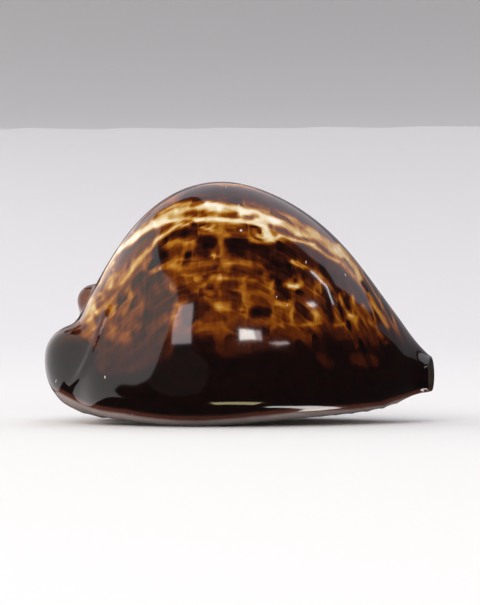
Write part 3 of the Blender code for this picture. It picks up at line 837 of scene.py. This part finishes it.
# The teeth
# Short ridges of the same glassy mineral stand across both lips, evenly spaced, as the lips thicken.
TOOTH_PITCH = 2.25
TOOTH_HEIGHT = 0.45
TOOTH_FADE = 2.0
OUTER_TEETH = (-24.75, 22.5)
INNER_TEETH = (-24.75, 20.25)
TOOTH_SHARPNESS = 1.6
INNER_SHIFT = 0.5  # the inner lip's teeth stand opposite the gaps of the outer lip's, half a pitch on
TOOTH_INPUTS = {
    "Pitch": TOOTH_PITCH,
    "Height": TOOTH_HEIGHT * MM,
    "Sharpness": TOOTH_SHARPNESS,
    "Fade": TOOTH_FADE,
    "Outer first": OUTER_TEETH[0],
    "Outer last": OUTER_TEETH[1],
    "Inner first": INNER_TEETH[0],
    "Inner last": INNER_TEETH[1],
}
tooth_tree = bpy.data.node_groups.new("lip_teeth", "GeometryNodeTree")
tooth_tree.interface.new_socket("Geometry", in_out="INPUT", socket_type="NodeSocketGeometry")
tooth_tree.interface.new_socket("Geometry", in_out="OUTPUT", socket_type="NodeSocketGeometry")
tooth_sockets = {
    name: tooth_tree.interface.new_socket(name, in_out="INPUT", socket_type="NodeSocketFloat").identifier
    for name in TOOTH_INPUTS
}
given = tooth_tree.nodes.new("NodeGroupInput")
sizes = {name: Wire(tooth_tree, given.outputs[name]) for name in TOOTH_INPUTS}
first = Wire(tooth_tree)


def stored(name, kind="FLOAT"):
    """A measure kept on the shell's mesh."""
    return first.node("GeometryNodeInputNamedAttribute", {"data_type": kind}, {"Name": name})


def ridges(side, shift):
    """How far the teeth of one lip stand proud at each point: 0 between them, 1 at their tops."""
    from_first = stored("station") - sizes[f"{side} first"]
    to_last = sizes[f"{side} last"] - stored("station")
    turns = from_first / sizes["Pitch"] + shift
    wave = first.maths("COSINE", turns * (2.0 * math.pi)) * 0.5 + 0.5
    ends = from_first.at_most(to_last) / sizes["Fade"] + 0.5
    return (wave ** sizes["Sharpness"]) * ends.step(0.0, 1.0) * stored(f"{side.lower()}_teeth")


tooth = ridges("Outer", 0.0) + ridges("Inner", INNER_SHIFT)
way = stored("tooth_way", "FLOAT_VECTOR").vector("SCALE", scale=tooth * sizes["Height"])
moved = first.node(
    "GeometryNodeSetPosition", None, {"Geometry": Wire(tooth_tree, given.outputs["Geometry"]), "Offset": way}
)
across, aside, upward = first.node("GeometryNodeInputPosition").parts()
level = first.node("ShaderNodeCombineXYZ", None, {0: across, 1: aside, 2: upward.at_least(0.0)})
moved = first.node("GeometryNodeSetPosition", None, {"Geometry": moved, "Position": level})
marked = {"Geometry": moved, "Name": "tooth", "Value": tooth}
marked = first.node("GeometryNodeStoreNamedAttribute", None, marked)
real = first.node("GeometryNodeRealizeInstances", None, {"Geometry": marked})

# The glaze
# Translucent layers of brown pigment lie over a pale ground, each laid down as rows of soft square spots.
# Where they overlap the shell is nearly black, and between them the ground shows as a net of gold.
glaze = bpy.data.materials.new("glazed_shell")
glaze.use_nodes = True
surface = glaze.node_tree.nodes["Principled BSDF"]
start = Wire(glaze.node_tree)


def measure(name, output="Fac"):
    """A measure kept on the shell's mesh, in the glaze."""
    return start.node("ShaderNodeAttribute", {"attribute_name": name}, output=output)


along, from_crest, above_base = measure("growth", "Vector").parts()
painted_tone, painted_cover, _ = measure("painted", "Vector").parts()
place = start.node("ShaderNodeCombineXYZ", None, {0: along, 1: from_crest, 2: 0.0})
object_place = start.node("ShaderNodeTexCoord", output="Object").vector("SCALE", scale=1.0 / MM)
forward, sideways, height = object_place.parts()


def cloud_noise(where, grain, detail=2.0, output="Fac"):
    """Cloudy noise whose clouds are about as wide as the grain, in millimetres."""
    values = {"Vector": where, "Scale": 1.0 / grain, "Detail": detail, "Roughness": 0.5}
    return where.node("ShaderNodeTexNoise", {"noise_dimensions": "3D"}, values, output)


def shaken(where, grain, reach):
    """The place moved about by cloudy noise, by up to about half the reach."""
    cloud = cloud_noise(where, grain, 1.0, "Color").vector("SUBTRACT", (0.5, 0.5, 0.5))
    return where.vector("ADD", cloud.vector("MULTIPLY", (reach, reach, 0.0)))


SEED_STEP = 0.37  # how far a seed moves the random numbers across, beside one along
SPOT_WIDTHS = (0.6, 0.7)  # least half width of a spot and its random part, as shares of the layer's own
SPOT_HEIGHTS = (0.7, 0.5)


def spots(where, cell, offset, reach, square, soft, jitter, seed):
    """One soft square spot in every cell of a grid: its shape, and a random number of its own."""
    scaled = where.vector("DIVIDE", (*cell, 1.0)).vector("ADD", (*offset, 0.0))
    whole = scaled.vector("FLOOR")
    chance = whole.vector("ADD", (seed, SEED_STEP * seed, 0.0))
    chance = where.node("ShaderNodeTexWhiteNoise", {"noise_dimensions": "3D"}, {"Vector": chance}, "Color")
    wander = chance.vector("SUBTRACT", (0.5, 0.5, 0.5)).vector("MULTIPLY", (jitter, jitter, 0.0))
    inside = scaled.vector("SUBTRACT", whole).vector("SUBTRACT", (0.5, 0.5, 0.0)).vector("SUBTRACT", wander)
    side, up, _ = inside.parts()
    own = chance.parts()
    wide = reach[0] * (SPOT_WIDTHS[0] + SPOT_WIDTHS[1] * own[2])
    high = reach[1] * (SPOT_HEIGHTS[0] + SPOT_HEIGHTS[1] * own[0])
    distance = ((abs(side) / wide) ** square + (abs(up) / high) ** square) ** (1.0 / square)
    return 1.0 - distance.step(1.0 - soft, 1.0 + soft), own[1]


def blend(share, first, second):
    """A colour between two colours."""
    return start.node("ShaderNodeMix", {"data_type": "RGBA"}, {0: share, 6: first, 7: second}, 2)


# The layers of spots: cell and its offset, half width and half height as shares of the cell, how square,
# how soft at the edge and how far off the middle a spot is, and the seed of its random numbers
LARGE_SPOTS = ((3.5, 2.9), (0.0, 0.0), (0.46, 0.42), 3.0, 0.22, 0.3, 3.0)
MIDDLE_SPOTS = ((5.2, 3.7), (0.4, 0.45), (0.40, 0.33), 2.6, 0.30, 0.5, 11.0)
SMALL_SPOTS = ((1.9, 1.6), (0.2, 0.7), (0.42, 0.36), 2.4, 0.35, 0.5, 23.0)
FLAKES = ((4.6, 4.6), (0.1, 0.3), (0.022, 0.04), 2.0, 0.4, 0.8, 41.0)
WAVES = ((9.0, 4.0), (2.4, 1.5))  # grain and reach of the two clouds that bend the rows of spots
CLOUD_GRAIN = 7.0
MOTTLE_GRAIN = 1.3
THREAD = (3.0, 0.62, 1.0)  # fine threads of pigment, along the growth and across it
wavy = shaken(shaken(place, *WAVES[0]), *WAVES[1])
large, large_chance = spots(wavy, *LARGE_SPOTS)
middle, middle_chance = spots(wavy, *MIDDLE_SPOTS)
small, small_chance = spots(wavy, *SMALL_SPOTS)
clouds = cloud_noise(place, CLOUD_GRAIN, 2.0)
mottle = cloud_noise(object_place, MOTTLE_GRAIN, 3.0)
thread_rows = cloud_noise(place.vector("DIVIDE", THREAD), 1.0, 1.0)
thread_columns = cloud_noise(place.vector("DIVIDE", (THREAD[1], THREAD[0], 1.0)), 1.0, 1.0)
threads = thread_rows + thread_columns - 1.0

# How deep the pigment is: the ground, then what each layer adds to it, and which of its spots are there
GROUND_TONE = 0.33
LARGE_DEPTH, LARGE_RANGE = 0.40, (0.5, 0.7)
MIDDLE_DEPTH, MIDDLE_KEPT = 0.24, (0.15, 0.5)
SMALL_DEPTH, SMALL_KEPT = 0.14, (0.35, 0.7)
CLOUD_DEPTH, CLOUD_LEVEL = 0.7, 0.45
layers = LARGE_DEPTH * large * (LARGE_RANGE[0] + LARGE_RANGE[1] * large_chance)
layers = layers + MIDDLE_DEPTH * middle * middle_chance.step(*MIDDLE_KEPT)
layers = layers + SMALL_DEPTH * small * small_chance.step(*SMALL_KEPT) + (clouds - CLOUD_LEVEL) * CLOUD_DEPTH
mosaic = GROUND_TONE + layers.at_least(0.0)
PAINTED_LEVEL, PAINTED_DEPTH = 0.3, 0.20  # the layers show through the marks a little
painted = painted_tone + (layers - PAINTED_LEVEL) * PAINTED_DEPTH
pigment = mosaic + (painted - mosaic) * painted_cover

# The spire, the thick callus that half covers it, and the nearly black margin
SPIRE_TONE = 0.66
SPIRE_CLOUDS = 0.8
SPIRE_EDGE = (3.6, 2.4)  # distances from its middle over which it begins
CALLUS = (-24.5, -0.5, 13.5)
CALLUS_TONE = 0.82
CALLUS_EDGE = (6.5, 3.0)
CALLUS_COVER = 0.85
MOTTLE_DEPTH = 0.16
THREAD_DEPTH = 0.17
THREAD_TONES = (0.15, 0.4)  # the threads are missing where the pigment is palest
MARGIN_TONE = 0.98
MARGIN_MOTTLE = 0.1
MARGIN_HEIGHTS = (16.0, 9.5)
MARGIN_WANDER = 7.0
MARGIN_UNDER_MARKS = 0.5  # how much of a mark shows through it
on_spire = object_place.vector("DISTANCE", SPIRE[0], output=1).step(*SPIRE_EDGE)
behind_spire = object_place.vector("DISTANCE", CALLUS, output=1).step(*CALLUS_EDGE)
dark_low = (height + (clouds - 0.5) * MARGIN_WANDER).step(*MARGIN_HEIGHTS)
pigment = pigment + (CALLUS_TONE - pigment) * behind_spire * CALLUS_COVER
pigment = pigment + (SPIRE_TONE + (clouds - 0.5) * SPIRE_CLOUDS - pigment) * on_spire
pigment = pigment + (mottle - 0.5) * MOTTLE_DEPTH + threads * THREAD_DEPTH * pigment.step(*THREAD_TONES)
margin = MARGIN_TONE + (mottle - 0.5) * MARGIN_MOTTLE
pigment = pigment + (margin - pigment) * dark_low * (1.0 - MARGIN_UNDER_MARKS * painted_cover)

PIGMENT = (
    (0.00, (0.88, 0.83, 0.72)),
    (0.10, (0.77, 0.65, 0.42)),
    (0.22, (0.57, 0.38, 0.14)),
    (0.34, (0.41, 0.172, 0.014)),
    (0.48, (0.235, 0.066, 0.004)),
    (0.62, (0.115, 0.022, 0.0015)),
    (0.76, (0.045, 0.0075, 0.0015)),
    (0.88, (0.014, 0.0025, 0.0012)),
    (1.00, (0.003, 0.0008, 0.0006)),
)
skin_colour = start.node("ShaderNodeValToRGB", {"stops": PIGMENT}, {"Fac": pigment}, "Color")

# Towards the resting side the dark margin ends in a warm brown line, and the base is pale and slightly lilac
# The pale base is partly its own colour and partly painted light from below, which brightens the underside.
BASE_AND_PAINTED_UNDERLIGHT_COLOUR = (0.46, 0.38, 0.35, 1.0)
BASE_AND_PAINTED_UNDERLIGHT_DARKER_COLOUR = (0.36, 0.27, 0.25, 1.0)
BASE_EDGE_COLOUR = (0.10, 0.028, 0.016, 1.0)
EDGE_HEIGHTS = (2.1, 1.5)  # heights over the base over which the brown line and then the base begin
BASE_HEIGHTS = (1.4, 0.9)
BASE_RISE = (8.0, 24.0), 0.8  # towards the front end they draw in under the canal
BASE_WANDER = 0.5
SHADE_EDGE, SHADE_COVER, SHADE_MOTTLE = (0.35, 0.65), 0.6, 0.5
base_height = above_base + (clouds - 0.5) * BASE_WANDER + forward.step(*BASE_RISE[0]) * BASE_RISE[1]
base_shade = clouds.step(*SHADE_EDGE) * SHADE_COVER + (mottle - 0.5) * SHADE_MOTTLE
base_and_painted_underlight = blend(base_shade, BASE_AND_PAINTED_UNDERLIGHT_COLOUR, BASE_AND_PAINTED_UNDERLIGHT_DARKER_COLOUR)
skin_colour = blend(base_height.step(*EDGE_HEIGHTS), skin_colour, BASE_EDGE_COLOUR)
# pale base, partly painted light from below
skin_colour = blend(base_height.step(*BASE_HEIGHTS), skin_colour, base_and_painted_underlight)

# Cream teeth with light brown gaps on the lips, a few pale flakes, and the bare inside with painted canal
# shade
LIP_GAP_COLOUR = (0.42, 0.19, 0.075, 1.0)
LIP_GAP_EDGE = (0.05, 0.4)
LIP_GAP_HEIGHTS = (4.5, 2.0)  # the gaps are pale no higher than this
LIP_GAP_COVER = 0.85
TOOTH_COLOUR = (0.80, 0.68, 0.54, 1.0)
TOOTH_EDGE = (0.06, 0.35)
FLAKE_COLOUR = (0.62, 0.58, 0.54, 1.0)
FLAKES_KEPT = (0.80, 0.82)
INSIDE_COLOUR = (0.62, 0.55, 0.50, 1.0)
INSIDE_EDGE = (0.35, 0.9)
# painted shade: the inside turns nearly black towards the front, where the canal lies in shade
CANAL_PAINTED_SHADE_COLOUR = (0.045, 0.026, 0.008, 1.0)
CANAL_PAINTED_SHADE_START = (15.0, 24.0)
teeth_zone = measure("outer_teeth") + measure("inner_teeth")
gaps = teeth_zone.step(*LIP_GAP_EDGE) * height.step(*LIP_GAP_HEIGHTS) * LIP_GAP_COVER
skin_colour = blend(gaps, skin_colour, LIP_GAP_COLOUR)
skin_colour = blend(measure("tooth").step(*TOOTH_EDGE), skin_colour, TOOTH_COLOUR)
flakes, flake_chance = spots(wavy, *FLAKES)
skin_colour = blend(flakes * flake_chance.step(*FLAKES_KEPT), skin_colour, FLAKE_COLOUR)
inside_with_painted_canal_shade = blend(forward.step(*CANAL_PAINTED_SHADE_START), INSIDE_COLOUR, CANAL_PAINTED_SHADE_COLOUR)
shell_colour = blend(measure("inside").step(*INSIDE_EDGE), skin_colour, inside_with_painted_canal_shade)
GLAZE_ROUGHNESS = 0.07
GLAZE_IOR = 1.55
glaze.node_tree.links.new(shell_colour.socket, surface.inputs["Base Color"])
surface.inputs["Roughness"].default_value = GLAZE_ROUGHNESS
surface.inputs["IOR"].default_value = GLAZE_IOR

finished = first.node("GeometryNodeSetMaterial", None, {"Geometry": real, "Material": glaze})
tooth_tree.links.new(finished.socket, tooth_tree.nodes.new("NodeGroupOutput").inputs["Geometry"])
carving = shell.modifiers.new("lip_teeth", "NODES")
carving.node_group = tooth_tree
for name, size in TOOTH_INPUTS.items():
    carving[tooth_sockets[name]] = size
bpy.context.view_layer.update()
evaluated = shell.evaluated_get(bpy.context.evaluated_depsgraph_get())
toothed_mesh = bpy.data.meshes.new_from_object(evaluated)
shell.modifiers.remove(carving)
shell.data = toothed_mesh
bpy.data.meshes.remove(shell_mesh)
toothed_mesh.name = "cowrie_shell"

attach(shell, "root")
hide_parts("shell")

# The floor
# A wide pale disc whose edge rises gently all round, so that every view ends on the same plain paper.
FLOOR_FLAT = 0.45
FLOOR_EDGE = 2.2
FLOOR_RISE = 1.1
FLOOR_RINGS = 60
FLOOR_SIDES = 96
PAPER_COLOUR = (0.88, 0.88, 0.89, 1.0)
PAPER_ROUGHNESS = 0.9
ring_places = np.linspace(0.0, 1.0, FLOOR_RINGS + 1)[1:]
floor_points = [(0.0, 0.0, 0.0)]
for ring_place in ring_places:
    radius = FLOOR_EDGE * ring_place
    rise = FLOOR_RISE * max(0.0, (radius - FLOOR_FLAT) / (FLOOR_EDGE - FLOOR_FLAT)) ** 2
    for side in range(FLOOR_SIDES):
        turn = 2.0 * math.pi * side / FLOOR_SIDES
        floor_points.append((radius * math.cos(turn), radius * math.sin(turn), rise))
floor_faces = [(0, 1 + side, 1 + (side + 1) % FLOOR_SIDES) for side in range(FLOOR_SIDES)]
for ring in range(FLOOR_RINGS - 1):
    here = 1 + ring * FLOOR_SIDES
    for side in range(FLOOR_SIDES):
        beside = (side + 1) % FLOOR_SIDES
        corners = here + side, here + side + FLOOR_SIDES, here + beside + FLOOR_SIDES, here + beside
        floor_faces.append(corners)
floor_mesh = bpy.data.meshes.new("floor")
floor_mesh.from_pydata(floor_points, [], floor_faces)
floor_mesh.shade_smooth()
paper = bpy.data.materials.new("pale_paper")
paper.use_nodes = True
paper_shader = paper.node_tree.nodes["Principled BSDF"]
paper_shader.inputs["Base Color"].default_value = PAPER_COLOUR
paper_shader.inputs["Roughness"].default_value = PAPER_ROUGHNESS
floor_mesh.materials.append(paper)
floor = put("floor", floor_mesh)
floor.visible_glossy = False

# Lights
# Softly glowing cards stand round the shell, seen only in its gloss, as veils, windows and streaks of light.
# Two wide panels light everything evenly.
CARD_DISTANCE = 0.95
CARD_STEPS = 24
AIM = Vector((0.0, 0.0, 0.015))
SOFT_WHITE = (1.0, 0.96, 0.97)
LILAC = (0.95, 0.92, 1.0)
WARM_WHITE = (1.0, 0.97, 0.92)
PINKISH = (1.0, 0.86, 0.88)
YELLOWISH = (1.0, 0.86, 0.45)
OLIVE = (0.96, 1.0, 0.80)
CARDS = {  # brightness, colour, and rows of elevation, first and last azimuth from the front towards +X
    "left_card": (
        1.15, SOFT_WHITE,
        (-42, -100, -60), (-30, -140, -55), (-2, -165, -39), (20, -165, -30), (30, -158, -27),
        (39, -135, -25), (45, -130, -32), (50, -130, -61), (53, -130, -95),
    ),
    "left_upper_card": (
        1.15, OLIVE,
        (14, -120, -34), (20, -150, -30), (30, -150, -27), (39, -130, -25), (45, -125, -32), (50, -125, -61),
    ),
    "low_left_card": (
        0.12, SOFT_WHITE,
        (-26, -30, -16), (-14, -38, -4), (0, -38, 1), (10, -36, 2), (18, -32, -8),
    ),
    "left_window": (4.4, PINKISH, (20, -23, -8), (32, -26, -10), (39, -24, -12)),
    "front_window": (17.0, WARM_WHITE, (19.5, 16.5, 25), (24.5, 17, 25)),
    "front_window_side": (7.0, PINKISH, (19.5, 25, 28.5), (24.5, 25, 29)),
    "front_streak": (7.0, PINKISH, (17.2, 37, 45), (18.6, 31.5, 43)),
    "right_strip": (12.0, SOFT_WHITE, (30, 78.5, 79.5), (37, 82.5, 84), (43, 79, 81)),
    "right_spot": (13.0, SOFT_WHITE, (31.4, 65, 69), (32.8, 63, 67.5)),
    "right_card": (
        1.08, LILAC,
        (24, 150, 205), (28, 106, 210), (30, 99, 210), (32, 100, 212), (35, 93, 212),
        (41, 97, 212), (47, 92, 210), (54, 91, 205), (62, 88, 205), (72, 80, 212), (79, 70, 220),
    ),
    "right_low_card": (0.35, LILAC, (2, 128, 185), (12, 112, 200), (26, 98, 205)),
    "low_strip": (
        7.0, WARM_WHITE,
        (-72, 82, 92), (-69, 86, 102), (-65, 97, 114), (-61, 109, 130), (-58, 121, 144), (-55, 136, 152),
    ),
    "low_strip_left": (5.5, YELLOWISH, (-71, 12, 54), (-64, 6, 52)),
}


def direction(turn, rise):
    """The way from the shell in a given azimuth and elevation, in degrees."""
    turn, rise = math.radians(turn), math.radians(rise)
    return Vector((math.sin(turn) * math.cos(rise), -math.cos(turn) * math.cos(rise), math.sin(rise)))


def add_card(name, brightness, colour, *card_rows):
    """A glowing card, bent round the shell, whose rows run between two azimuths."""
    corners = [
        AIM + CARD_DISTANCE * direction(first_turn + (last_turn - first_turn) * step / CARD_STEPS, rise)
        for rise, first_turn, last_turn in card_rows
        for step in range(CARD_STEPS + 1)
    ]
    line = CARD_STEPS + 1
    starts = [row * line + step for row in range(len(card_rows) - 1) for step in range(CARD_STEPS)]
    card_mesh = bpy.data.meshes.new(name)
    card_mesh.from_pydata(corners, [], [(at, at + 1, at + line + 1, at + line) for at in starts])
    glow = bpy.data.materials.new(name)
    glow.use_nodes = True
    shader = glow.node_tree.nodes["Principled BSDF"]
    shader.inputs["Base Color"].default_value = (0.0, 0.0, 0.0, 1.0)
    shader.inputs["Specular IOR Level"].default_value = 0.0
    shader.inputs["Emission Color"].default_value = (*colour, 1.0)
    shader.inputs["Emission Strength"].default_value = brightness
    card_mesh.materials.append(glow)
    card = put(name, card_mesh)
    card.visible_camera = False
    card.visible_shadow = False


for name, card in CARDS.items():
    add_card(name, *card)

PANELS = (  # name, azimuth, elevation, width, height, brightness
    ("front_panel", -12.0, 42.0, 0.9, 0.8, 1.5),
    ("top_panel", 30.0, 78.0, 0.9, 0.8, 1.2),
)
PANEL_COLOUR = (1.0, 0.98, 0.95)
for name, turn, rise, width, height, brightness in PANELS:
    light = bpy.data.lights.new(name, "AREA")
    light.shape = "RECTANGLE"
    light.size = width
    light.size_y = height
    light.energy = brightness * math.pi * width * height
    light.color = PANEL_COLOUR
    panel = put(name, light)
    panel.location = AIM + direction(turn, rise) * CARD_DISTANCE
    panel.rotation_euler = (-direction(turn, rise)).to_track_quat("-Z", "Y").to_euler()
    panel.visible_camera = False
    panel.visible_glossy = False

WORLD_COLOUR = (0.3, 0.3, 0.32, 1.0)
WORLD_STRENGTH = 0.15
world = bpy.data.worlds.new("studio")
world.use_nodes = True
background = world.node_tree.nodes["Background"]
background.inputs["Color"].default_value = WORLD_COLOUR
background.inputs["Strength"].default_value = WORLD_STRENGTH
bpy.context.scene.world = world
bpy.context.scene.view_settings.view_transform = "Standard"

# Camera
# A long lens from the side of the outer lip, level with the shell.
VIEW_MIDDLE = (-0.00018, 0.0, 0.01722)
VIEW_DISTANCE = 0.45
VIEW_ELEVATION = math.radians(0.5)
VIEW_WIDTH = 0.06919
SENSOR = 36.0
camera_data = bpy.data.cameras.new("camera")
camera_data.sensor_fit = "HORIZONTAL"
camera_data.sensor_width = SENSOR
camera_data.lens = SENSOR * VIEW_DISTANCE / VIEW_WIDTH
camera_data.clip_start = 0.01
camera = put("camera", camera_data)
back_off = Vector((0.0, -math.cos(VIEW_ELEVATION), math.sin(VIEW_ELEVATION))) * VIEW_DISTANCE
camera.location = Vector(VIEW_MIDDLE) + back_off
camera.rotation_euler = (-back_off).to_track_quat("-Z", "Y").to_euler()
bpy.context.scene.camera = camera

bpy.context.view_layer.update()
